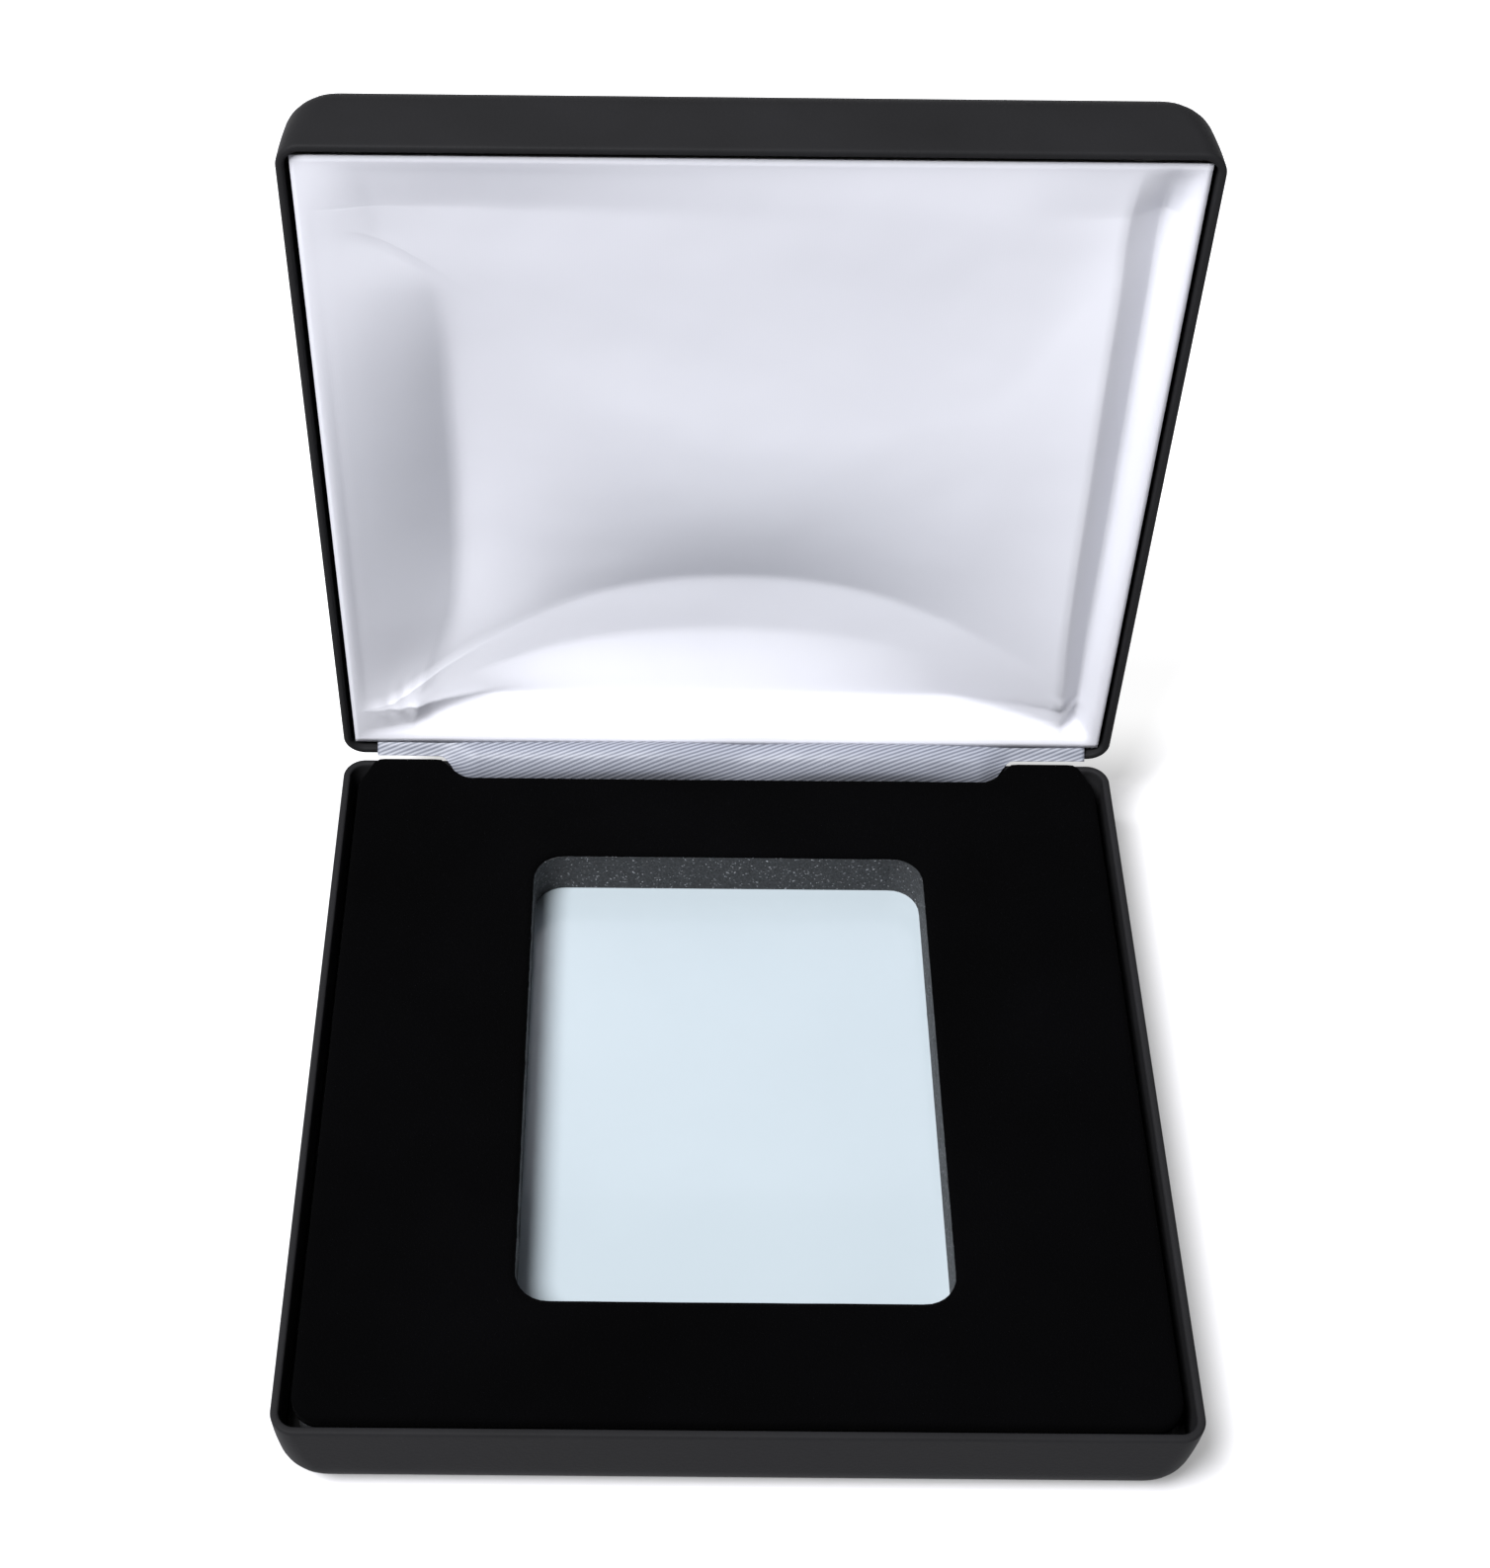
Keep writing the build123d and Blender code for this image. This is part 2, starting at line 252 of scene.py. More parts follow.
# Greyboard: uncoated recycled board, matt with short fibres.
board = {"tones": ("#bdb8ac", "#d6d2c8"), "fibre": 0.7143, "depth": 0.03, "strength": 0.7,
         "plain": {"Roughness": 0.9}}
greyboard, tree, shader, place = newMaterial("greyboard")
fibres = addNode(tree, "ShaderNodeTexNoise", {"Vector": place, "Scale": metre / board["fibre"], "Detail": 4.0,
                                              "Distortion": 1.5})
finishSurface(tree, shader, board, fibres.outputs["Fac"], fibres.outputs["Fac"])

# Expanded polystyrene: moulded white beads about 3 mm across, matt, with dark joints between them.
bead = {"tones": ("#cfd0d2", "#eeeeec"), "size": 3.03, "joint": 0.12, "depth": 0.15, "strength": 0.8,
        "plain": {"Roughness": 0.75}}
expandedPolystyrene, tree, shader, place = newMaterial("expandedPolystyrene")
beads = addNode(tree, "ShaderNodeTexVoronoi", {"Vector": place, "Scale": metre / bead["size"]},
                feature="DISTANCE_TO_EDGE")
joint = addNode(tree, "ShaderNodeMapRange", {"Value": beads.outputs["Distance"], "From Max": bead["joint"]})
finishSurface(tree, shader, bead, joint.outputs[0], joint.outputs[0])

# Open-cell polyurethane foam, cut with a blade: dark and matt, with torn cells and bright specks that are
# painted glints of the cut cell walls.
foam = {"tones": ("#131416", "#2d2f33"), "cell": 0.42, "paintedGlint": "#9a9ca2", "glintSize": 0.3125,
        "glintRange": (0.64, 0.74), "depth": 0.12, "strength": 0.9, "plain": {"Roughness": 0.7}}
openCellFoam, tree, shader, place = newMaterial("openCellFoam")
voids = addNode(tree, "ShaderNodeTexVoronoi", {"Vector": place, "Scale": metre / foam["cell"]})
cells = voids.outputs["Distance"]
glintNoise = addNode(tree, "ShaderNodeTexNoise", {"Vector": place, "Scale": metre / foam["glintSize"], "Detail": 2.0})
# bright specks mixed into the colour: painted glints
paintedGlint = addNode(tree, "ShaderNodeMapRange", {"Value": glintNoise.outputs["Fac"], "From Min": foam["glintRange"][0],
                                             "From Max": foam["glintRange"][1]})
dark = finishSurface(tree, shader, foam, cells, cells)
glinted = addNode(tree, "ShaderNodeMix", {"Factor": paintedGlint.outputs[0], "A": dark, "B": tint(foam["paintedGlint"])},
                  data_type="RGBA")
tree.links.new(glinted.outputs["Result"], shader.inputs["Base Color"])

# Nylon flock: short upright fibres that swallow light, with a faint pale fuzz at glancing edges.
flock = {"tones": ("#020202", "#050506"), "pile": 0.3846, "nap": 22.22, "depth": 0.18, "strength": 1.0,
         "plain": {"Roughness": 1.0, "Specular IOR Level": 0.01, "Sheen Weight": 0.006, "Sheen Roughness": 0.4,
                   "Sheen Tint": tint("#c8c8cc")}}
nylonFlock, tree, shader, place = newMaterial("nylonFlock")
pile = addNode(tree, "ShaderNodeTexNoise", {"Vector": place, "Scale": metre / flock["pile"], "Detail": 3.0,
                                            "Roughness": 0.7})
nap = addNode(tree, "ShaderNodeTexNoise", {"Vector": place, "Scale": metre / flock["nap"], "Detail": 3.0})
finishSurface(tree, shader, flock, nap.outputs["Fac"], pile.outputs["Fac"])

# Polyester wadding: loose white fibre, matt and cloudy.
fluff = {"tones": ("#d8d9da", "#f4f4f4"), "tuft": 2.0, "depth": 0.3, "strength": 0.8,
         "plain": {"Roughness": 1.0}}
polyesterWadding, tree, shader, place = newMaterial("polyesterWadding")
fibres = addNode(tree, "ShaderNodeTexNoise", {"Vector": place, "Scale": metre / fluff["tuft"], "Detail": 6.0,
                                              "Distortion": 2.0})
finishSurface(tree, shader, fluff, fibres.outputs["Fac"], fibres.outputs["Fac"])

# Acetate satin: long floats give a silky broad sheen. Its real threads, about 0.1 mm, are too fine to show, so
# they are drawn 0.3 mm apart, and the ribs of the heavier satin over the hinge 0.6 mm apart.
satin = {"thread": 0.3, "tones": ("#cecfd8", "#d4d5dd"), "depth": 0.005, "strength": 0.5, "cloud": 25.0,
         "plain": {"Roughness": 0.42, "Sheen Weight": 0.15, "Sheen Roughness": 0.35}}
# The ribbed satin over the hinge is drawn grey: painted shade of the pale cloth lying under the lid's edge,
# darker between each rib and lighter on it.
shadedRibs = {"thread": 0.6, "tones": ("#585c68", "#8d909b"), "depth": 0.05, "strength": 0.5, "turn": 24,
        "plain": {"Roughness": 0.55, "Sheen Weight": 0.15, "Sheen Roughness": 0.35}}
waveRun = 314  # a Wave texture of scale 1 repeats every 314 mm


def satinMaterial(name, look):
    material, tree, shader, place = newMaterial(name, "UV")
    rotation = (0, 0, math.radians(look.get("turn", 0)))
    turned = addNode(tree, "ShaderNodeMapping", {"Vector": place, "Rotation": rotation}).outputs[0]
    threads = [addNode(tree, "ShaderNodeTexWave", {"Vector": turned, "Scale": waveRun / look["thread"],
                                                   "Distortion": 0.5, "Detail": 2.0, "Detail Scale": 0.5},
                       bands_direction=way).outputs["Fac"] for way in "XY"]
    if "turn" in look:  # ribbed cloth: the ribbing stands up as relief, and its painted shade shows in the colour
        finishSurface(tree, shader, look, threads[1], threads[1])
        return material
    weave = addNode(tree, "ShaderNodeMath", {0: threads[0], 1: threads[1]}, operation="MAXIMUM").outputs[0]
    cloud = addNode(tree, "ShaderNodeTexNoise", {"Vector": place, "Scale": metre / look["cloud"],
                                                 "Detail": 3.0}).outputs["Fac"]
    finishSurface(tree, shader, look, cloud, weave)
    return material


acetateSatin = satinMaterial("acetateSatin", satin)
ribbedSatinPaintedShade = satinMaterial("ribbedSatinPaintedShade", shadedRibs)
print("materials made")

cadFinish = {"base_hinge_leaf": zincPlatedSteel, "lid_hinge_leaf": zincPlatedSteel,
             "hinge_pin": zincPlatedSteel, "spring_rivets": zincPlatedSteel, "snap_spring": bluedSpringSteel,
             "riser_block": expandedPolystyrene, "floor_card": coatedCard, "lid_liner_card": greyboard}
for node, material in cadFinish.items():
    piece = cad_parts[node]
    piece.data.materials.clear()
    piece.data.materials.append(material)


# The open lid: y of its rim plane and z of its lower end, in mm.
lidStand = {"rimPlane": 52.05, "lowEnd": 15.05}

# Trays: leatherette over pressed steel, in mm. The upright corners are tight at the rim and widen to the face.
tray = {"width": 108.0, "depth": 103.0, "height": 14.5, "edge": 6.0, "flatRun": 1.5, "rimCorner": 3.0,
        "faceCorner": 7.5, "widening": 1.5, "leastCorner": 0.25, "wall": 1.0, "wallHeights": (7.5, 9.5, 11.5),
        "rimRound": 0.36, "turnIn": 8.5, "cornerCells": 14, "edgeCells": 10, "rimCells": 4,
        "backWall": 49.0, "notchHalf": 35.7, "notchLow": 12.5,
        "steelInset": 0.3, "steelDrop": 0.5, "leatherThickness": 0.26, "steelThickness": 0.36}


def trayRing(offset, height):  # a rounded rectangle, the same number of points at every height
    share = max(0.0, 1 - height / tray["height"])
    radius = tray["rimCorner"] + (tray["faceCorner"] - tray["rimCorner"]) * share ** tray["widening"]
    radius = max(tray["leastCorner"], radius - offset)
    halfX, halfY = tray["width"] / 2 - offset, tray["depth"] / 2 - offset
    points = []
    for corner in range(4):
        sideX = 1 if corner in (0, 3) else -1
        sideY = 1 if corner in (0, 1) else -1
        for k in range(tray["cornerCells"] + 1):
            angle = (corner + k / tray["cornerCells"]) * math.pi / 2
            points.append(Vector((sideX * (halfX - radius) + radius * math.cos(angle),
                                  sideY * (halfY - radius) + radius * math.sin(angle), height)))
    return points


def trayPath(inset, top, turned):  # offsets from the outer plan and heights, from the face up to the rim
    run = tray["edge"] - inset
    path = [(tray["edge"] + tray["flatRun"], inset)]
    path += [(inset + run * (1 - math.sin(a)), inset + run * (1 - math.cos(a)))
             for a in quarterTurn(tray["edgeCells"])]
    path += [(inset, height) for height in tray["wallHeights"]]
    if not turned:
        return path + [(inset, top)]
    r, wall = tray["rimRound"], tray["wall"]
    path.append((inset, top - 2 * r))
    path += [(r * (1 - math.cos(a)), top - r + r * math.sin(a)) for a in quarterTurn(tray["rimCells"])]
    path += [(wall - r + r * math.sin(a), top - r + r * math.cos(a)) for a in quarterTurn(tray["rimCells"])]
    return path + [(wall, top - 2 * r), (wall, top - tray["turnIn"] / 2), (wall, top - tray["turnIn"])]


def inBackWall(face):
    return face.calc_center_median().y > tray["backWall"]


def cutNotch(mesh):  # clearance for the knuckles in the back wall
    half, low = tray["notchHalf"], tray["notchLow"]
    for place, normal in (((half, 0, 0), (1, 0, 0)), ((-half, 0, 0), (1, 0, 0)), ((0, 0, low), (0, 0, 1))):
        back = [f for f in mesh.faces if inBackWall(f)]
        around = [e for f in back for e in f.edges] + [v for f in back for v in f.verts]
        bmesh.ops.bisect_plane(mesh, geom=back + list(dict.fromkeys(around)), plane_co=place, plane_no=normal)
    notch = [f for f in mesh.faces if inBackWall(f) and f.calc_center_median().z > low
             and abs(f.calc_center_median().x) < half]
    bmesh.ops.delete(mesh, geom=notch, context="FACES")


def traySheet(path, lid):
    mesh = bmesh.new()
    points = trayRing(*path[0])
    ring = bmesh.ops.create_circle(mesh, cap_ends=True, segments=len(points), radius=1)["verts"]
    for vertex, point in zip(ring, points):
        vertex.co = point
    for offset, height in path[1:]:
        edges = [mesh.edges.get((ring[i - 1], ring[i])) for i in range(len(ring))]
        added = newVerts(bmesh.ops.extrude_edge_only(mesh, edges=edges))
        ring = [next(e.other_vert(v) for e in v.link_edges if e.other_vert(v) in added) for v in ring]
        for vertex, point in zip(ring, trayRing(offset, height)):
            vertex.co = point
    cutNotch(mesh)
    bmesh.ops.recalc_face_normals(mesh, faces=mesh.faces[:])
    flat = min(mesh.faces, key=lambda f: f.calc_center_median().z)
    if flat.normal.z > 0:
        bmesh.ops.reverse_faces(mesh, faces=mesh.faces[:])
    turn = lidStand["rimPlane"] + tray["height"]  # the lid is the same tray, turned up about the hinge
    for vertex in mesh.verts:
        x, y, z = vertex.co
        vertex.co = Vector((-x, turn - z, turn - y) if lid else (x, y, z)) * mm
    return mesh


for body in ("base", "lid"):
    mesh = traySheet(trayPath(0, tray["height"], True), body == "lid")
    piece = finishPiece(body + "_leatherette", mesh, leatheretteMaterial, body)
    thicken(piece, tray["leatherThickness"], use_even_offset=True)
    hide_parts(body + "_covering")
    mesh = traySheet(trayPath(tray["steelInset"], tray["height"] - tray["steelDrop"], False), body == "lid")
    piece = finishPiece(body + "_steel_tray", mesh, coldRolledSteel, body)
    thicken(piece, tray["steelThickness"], use_even_offset=True)
    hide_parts(body + "_shell")
print("trays made")


# Lining of the lid, in mm. Places are x and the height above the lid's lower end; depth is from the rim plane.
# Creases that run across, and the crown line, are (x, height); the left and right creases are (height, x).
lining = {
    "left": -52.4, "right": 52.4, "low": 1.92, "high": 101.3, "thickness": 0.3,
    "columns": (7, 13, 78, 10, 6), "rows": (7, 24, 44, 34, 8),
    "leftCrease": [(0, -44.5), (11.5, -42.2), (23.3, -37.9), (40, -36.9), (58.8, -36.8), (80.7, -37.5),
                   (89.4, -43.0), (102, -45.5)],
    "rightCrease": [(0, 47.2), (8.6, 46.4), (24.4, 45.3), (51.5, 44.7), (67.9, 44.4), (81.7, 44.3),
                    (90.4, 44.0), (102, 44.6)],
    "lowCrease": [(-53, 8.3), (-47.2, 8.9), (-42.8, 11.3), (-18.9, 24.0), (1.4, 27.7), (21.8, 25.5),
                  (44.4, 15.0), (48.4, 10.2), (53, 9.0)],
    "crownLine": [(-53, 91.0), (-43, 88.0), (-18.4, 66.0), (6.0, 58.0), (31.2, 64.5), (44.2, 85.0), (53, 90.0)],
    "highCrease": [(-53, 93.5), (0, 93.0), (53, 93.5)],
    # folds between the edge and the creases: how far in, and the most they take of the way to the crease
    "leftFold": 4.2, "rightFold": 4.2, "lowFold": 5.4, "sideShare": 0.5, "lowShare": 0.7,
    "foldWaves": [(0.3, 9, 2.2)], "startHeight": 50.0, "passes": 4,
    # depths: the lip over the card, the folds, the crown and the sags around it
    "lip": 0.6, "rollRun": 1.25, "rollRise": 0.08, "rollSlope": 1.05, "foldDepth": {"right": 3.5, "low": 5.3},
    "leftCurve": 1.2, "lensHollow": 0.5, "cornerDepth": 1.8, "crown": 3.4, "archPower": 0.8, "lean": 0.88,
    "lowSag": 4.9, "lowPower": 2.3, "highSag": -1.9, "highPower": 1.7, "highRun": 35, "highLimit": 93.2,
    "sideTop": 97, "sideRun": 89, "leftSag": 6.7, "leftPower": 4.6, "leftLean": 1.6, "leftSwell": 0.85,
    "rightRise": 1.2, "rightPower": 3.0, "rightSwell": 0.5,
    "calmEdge": 8, "smoothing": 0.5, "waves": [(0.10, 17, 3.1), (0.035, 6, 7.7)]}
# Gathers where the low fold runs out into the corners: x of each corner and the way the gathers lean.
gathers = {"corners": ((-45.5, 1), (46.5, -1)), "height": 8.3, "halfWidth": 5.0, "halfHeight": 2.4,
           "turnAcross": 2.3, "turnUp": 1.4, "depth": 0.22}


def between(marks, at):  # the mark before that logical place, and the share of the way to the next
    cell = min(len(marks) - 2, int(at))
    return marks[cell] + (marks[cell + 1] - marks[cell]) * (at - cell)


def liningPoint(across, up):  # logical place (0 to 5 across, 0 to 5 up) to x and height
    left, right, low, high = (lining[key] for key in ("left", "right", "low", "high"))
    x, h = 0.0, lining["startHeight"]
    for repeat in range(lining["passes"]):
        leftArc, rightArc = through(lining["leftCrease"], h), through(lining["rightCrease"], h)
        leftFold = left + min(lining["leftFold"], lining["sideShare"] * (leftArc - left))
        rightFold = right - min(lining["rightFold"], lining["sideShare"] * (right - rightArc))
        x = between([left, leftFold, leftArc, rightArc, rightFold, right], across)
        lowArc, crownArc = through(lining["lowCrease"], x), through(lining["crownLine"], x)
        highArc = through(lining["highCrease"], x)
        fold = lining["lowFold"] + ripple(x, 0, lining["foldWaves"])
        lowFold = low + min(fold, lining["lowShare"] * (lowArc - low))
        h = between([low, lowFold, lowArc, crownArc, highArc, high], up)
    return x, h


def sideDepth(share, strip, valley, hollow):  # share runs 0 at the rim, 1 at the fold, 2 at the crease
    if share <= 1:
        return lining["lip"] + (strip - lining["lip"]) * share
    t = share - 1
    return strip + (valley - strip) * (t + hollow * math.sin(math.pi * t))


def swell(share, power):  # 0 at both ends, 1 in the middle
    return max(0.0, math.sin(math.pi * share)) ** power


def panelDepth(s, up, x, h):  # the middle panel: s is 0 to 1 across; up is 2 at the low crease, 3 on the crown
    arch = swell(s ** lining["lean"], lining["archPower"])
    depth = lining["cornerDepth"] + (lining["crown"] - lining["cornerDepth"]) * arch
    if up < 3:
        depth += lining["lowSag"] * arch * (3 - up) ** lining["lowPower"]
    else:
        above = max(0.0, h - through(lining["crownLine"], x)) / lining["highRun"]
        depth += lining["highSag"] * above ** lining["highPower"]
    share = min(1, max(0, (lining["sideTop"] - h) / lining["sideRun"]))
    left = swell(share ** lining["leftLean"], lining["leftSwell"])
    right = swell(share, lining["rightSwell"])
    return (depth + lining["leftSag"] * left * (1 - s) ** lining["leftPower"]
            - lining["rightRise"] * right * s ** lining["rightPower"])


def liningDepth(across, up, x, h):
    lip = lining["lip"]
    valley = panelDepth(min(1.0, max(0.0, across - 2)), min(4.0, max(2.0, up)), x, min(lining["highLimit"], h))
    depth = valley
    if across < 2:
        share = max(0.0, (x - lining["left"]) / (through(lining["leftCrease"], h) - lining["left"]))
        depth = lip + (valley - lip) * min(1.0, share) ** lining["leftCurve"]
    if across > 3:
        depth = sideDepth(5 - across, lining["foldDepth"]["right"], valley, 0.0)
    if up < 2:
        fold = lining["foldDepth"]["low"]
        depth = min(depth, sideDepth(up, fold, max(valley, fold), lining["lensHollow"]))
    if up > 4:
        depth = lip + (depth - lip) * (5 - up)
    return depth


def pucker(x, h):
    total = 0.0
    for corner, lean in gathers["corners"]:
        right, up = x - corner, h - gathers["height"]
        a, b = right / gathers["halfWidth"], up / gathers["halfHeight"]
        turn = gathers["turnAcross"] * right + lean * gathers["turnUp"] * up
        total += math.exp(-a * a - b * b) * math.sin(turn)
    return total


def overCard(x, h, depth):  # the satin rolls over the card's edge before it slopes in
    reach = min(lining["right"] - abs(x), h - lining["low"], lining["high"] - h)
    roll = lining["rollRise"] * reach + lining["rollSlope"] * max(0.0, reach - lining["rollRun"])
    return min(depth, lining["lip"] + roll)


def lidPlace(x, h, depth):  # in metres, the lid standing open
    return Vector((x, lidStand["rimPlane"] + depth, lidStand["lowEnd"] + h)) * mm


mesh, home = gridSheet(steps(lining["columns"]), steps(lining["rows"]))
flat = {}
for vertex, (across, up) in home.items():
    x, h = flat[vertex] = liningPoint(across, up)
    depth = overCard(x, h, liningDepth(across, up, x, h))
    edge = min(x - lining["left"], lining["right"] - x, h - lining["low"], lining["high"] - h)
    unrest = ripple(x, h, lining["waves"]) + gathers["depth"] * pucker(x, h)
    depth += fade(edge, 0, lining["calmEdge"]) * unrest
    vertex.co = lidPlace(x, h, depth)
layUvs(mesh, flat)
inner = [v for v in mesh.verts if not v.is_boundary]
bmesh.ops.smooth_vert(mesh, verts=inner, factor=lining["smoothing"], use_axis_y=True)
satinPiece = finishPiece("lid_lining_satin", mesh, acetateSatin, "lid")
thicken(satinPiece, lining["thickness"], use_quality_normals=True)
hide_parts("lid_satin")
print("lid satin:", len(satinPiece.data.polygons), "faces")


# Wadding under the lining, in the same logical places, in mm. Its border stays inside the card tray.
padding = {"gap": 0.75, "least": 0.15, "waves": [(0.05, 5, 1.7)], "margin": 0.8,
           "cardEdge": 51.25, "lowEdge": 2.75, "highEdge": 100.25, "cardLip": 0.85, "lean": 0.82,
           "floorDepth": 12.9, "sideShare": 0.5, "lowShare": 0.68, "highShare": 0.75}


def cardDepth(x, h):  # inner face of the card tray
    reach = min(padding["cardEdge"] - abs(x), h - padding["lowEdge"], padding["highEdge"] - h)
    return min(padding["floorDepth"], padding["cardLip"] + reach / padding["lean"])


def padPlace(across, up):  # the outer strips keep only their inner share
    side, low, high = padding["sideShare"], padding["lowShare"], padding["highShare"]
    across = 1 - side + side * across if across < 1 else min(across, 4 + side * (across - 4))
    up = 1 - low + low * up if up < 1 else min(up, 4 + high * (up - 4))
    return across, up


halved = [steps([max(2, count // 2) for count in lining[key]]) for key in ("columns", "rows")]
mesh, home = gridSheet(*halved)
for vertex, spot in home.items():
    across, up = padPlace(*spot)
    x, h = liningPoint(across, up)
    limit = padding["cardEdge"] - padding["margin"]
    x = max(-limit, min(limit, x))
    h = max(padding["lowEdge"] + padding["margin"], min(padding["highEdge"] - padding["margin"], h))
    front = overCard(x, h, liningDepth(across, up, x, h)) + padding["gap"]
    vertex.co = lidPlace(x, h, front + ripple(x, h, padding["waves"]))
for vertex in newVerts(bmesh.ops.extrude_face_region(mesh, geom=mesh.faces[:], use_keep_orig=True)):
    x, y, z = (v / mm for v in vertex.co)
    h, front = z - lidStand["lowEnd"], y - lidStand["rimPlane"]
    vertex.co = lidPlace(x, h, max(front + padding["least"], cardDepth(x, h)))
bmesh.ops.recalc_face_normals(mesh, faces=mesh.faces[:])
padPiece = finishPiece("lid_padding", mesh, polyesterWadding, "lid")
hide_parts("lid_pad")
print("wadding:", len(padPiece.data.polygons), "faces")


# Insert: foam body and flocked face, in mm from the middle of the base. The recess takes the coin holder.
insert = {"halfWidth": 51.8, "front": -49.7, "back": 50.2, "corner": 3.5, "edge": 0.9,
          "edgeLines": (0.0, 0.05, 0.17, 0.38, 0.66, 1.0, 1.6), "columns": (24, 50), "rows": (14, 64),
          "recessX": 26.5, "recessY": 34.25, "recessCorner": 4.0, "recessEase": 6, "outside": 5,
          "stepHalf": 39.0, "stepDepth": 1.6, "stepFades": (-2.6, 0.4), "stepRun": (3, -1.5),
          "foamInset": 0.35, "foamLevels": 8, "floor": 7.42, "foamTop": 14.2, "cutReach": 0.4,
          "cutWaves": ([(0.16, 1.1, 5.0)], [(0.10, 3.5, 9.0)]), "leastReach": 8,
          "top": 14.7, "sink": 0.12, "waves": [(0.10, 22, 2.0), (0.04, 5, 4.0)], "falls": (0.5, 0.6),
          "thickness": 0.32}
# Two ears of the flocked sheet lie on the rim beside the hinge.
ear = {"inner": (38.4, 40.6), "outer": (49.3, 51.2), "front": 46.5, "run": 1.0, "lift": 0.45, "dropKept": 0.1,
       "fallKept": 0.05}
tiny = 0.001


def insertLines(low, holeLow, holeHigh, high, cells):  # close together at the outer edge, even elsewhere
    first = [low + offset for offset in insert["edgeLines"]]
    last = [high - offset for offset in reversed(insert["edgeLines"])]
    middle = [(first[-1], holeLow, cells[0]), (holeLow, holeHigh, cells[1]), (holeHigh, last[0], cells[0])]
    lines = first[:-1]
    for a, b, count in middle:
        lines += [a + (b - a) * i / count for i in range(count)]
    return lines + last


def insertOutline(x, y, inset):  # rounds the outer and recess corners and cuts the step at the back
    half, front, back = insert["halfWidth"] - inset, insert["front"] + inset, insert["back"] - inset
    x = max(-half, min(half, x))
    y = max(front, min(back, y))
    radius = insert["corner"]
    a = abs(x) - (half - radius)
    b = (y - (back - radius)) if y > 0 else ((front + radius) - y)
    if a > 0 and b > 0:  # square corner to quarter disc
        r = max(a, b)
        angle = math.pi / 4 * (b / a if a >= b else 2 - a / b)
        x = math.copysign(half - radius + r * math.cos(angle), x)
        b = r * math.sin(angle)
        y = back - radius + b if y > 0 else front + radius - b
    radius = insert["recessCorner"]
    u, v = abs(x) - (insert["recessX"] - radius), abs(y) - (insert["recessY"] - radius)
    outside = max(u, v) - radius  # distance beyond the recess's square edge
    if u > -tiny and v > -tiny and -tiny <= outside < insert["recessEase"]:
        length = math.hypot(u, v)
        rim = radius / max(abs(u), abs(v)) * length if length else radius
        pull = (rim - radius) * (1 - fade(outside, 0, insert["recessEase"]))
        x -= math.copysign(pull * u / length, x)
        y -= math.copysign(pull * v / length, y)
    if y > 0:
        step = 1 - fade(abs(x), *(insert["stepHalf"] + offset for offset in insert["stepFades"]))
        run = fade(y, insert["recessY"] + insert["stepRun"][0], insert["back"] + insert["stepRun"][1])
        y -= insert["stepDepth"] * step * run
    return x, y


def insertGrid(inset):
    halfX, recessX, recessY = insert["halfWidth"], insert["recessX"], insert["recessY"]
    mesh, home = gridSheet(insertLines(-halfX, -recessX, recessX, halfX, insert["columns"]),
                           insertLines(insert["front"], -recessY, recessY, insert["back"], insert["rows"]))
    for vertex, (x, y) in home.items():
        vertex.co = (*insertOutline(x, y, inset), 0)
    inside = [f for f in mesh.faces
              if all(abs(home[v][0]) <= recessX + tiny and abs(home[v][1]) <= recessY + tiny for v in f.verts)]
    bmesh.ops.delete(mesh, geom=inside, context="FACES")
    return mesh, home


mesh = insertGrid(insert["foamInset"])[0]
levels = insert["foamLevels"]
top = mesh.faces[:]
for level in range(levels):
    result = bmesh.ops.extrude_face_region(mesh, geom=top, use_keep_orig=level == 0)
    top = [f for f in result["geom"] if isinstance(f, bmesh.types.BMFace)]
    for vertex in {v for f in top for v in f.verts}:
        vertex.co.z = -(level + 1) / levels
cutX, cutY = insert["recessX"] + insert["cutReach"], insert["recessY"] + insert["cutReach"]
for vertex in mesh.verts:
    x, y, down = vertex.co
    z = insert["foamTop"] + down * (insert["foamTop"] - insert["floor"])
    if down > tiny - 1 and abs(x) < cutX and abs(y) < cutY:  # the recess's wall, torn by the blade
        rough = ripple(x + y, z, insert["cutWaves"][0]) + ripple(x - y, z, insert["cutWaves"][1])
        x, y = (v * (1 + rough / max(insert["leastReach"], abs(v))) for v in (x, y))
    vertex.co = Vector((x, y, z)) * mm
bmesh.ops.recalc_face_normals(mesh, faces=mesh.faces[:])
foamPiece = finishPiece("insert_foam_body", mesh, openCellFoam, "base", smooth=False)
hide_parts("insert_foam")
print("insert foam:", len(foamPiece.data.polygons), "faces")


def onEar(x, y):  # 0 off the ears, 1 on them
    across = fade(abs(x), *ear["inner"]) * (1 - fade(abs(x), *ear["outer"]))
    return across * fade(y, ear["front"], insert["back"])


mesh, home = insertGrid(0.0)
for vertex in mesh.verts:
    squareX, squareY = home[vertex]
    gap = min(insert["halfWidth"] - abs(squareX), squareY - insert["front"], insert["back"] - squareY)
    edge = insert["edge"]
    drop = edge - math.sqrt(max(0, edge ** 2 - (edge - gap) ** 2)) if gap < edge else 0.0
    x, y, z = vertex.co
    tab = onEar(x, y)
    z = insert["top"] - insert["sink"] + ripple(x, y, insert["waves"]) * (1 - tab)
    z += ear["lift"] * tab - drop * (1 - (1 - ear["dropKept"]) * tab)
    vertex.co = Vector((x, y + ear["run"] * tab, z)) * mm
outer = [e for e in mesh.edges if e.is_boundary
         and all(abs(home[v][0]) > insert["recessX"] + insert["outside"]
                 or abs(home[v][1]) > insert["recessY"] + insert["outside"] for v in e.verts)]
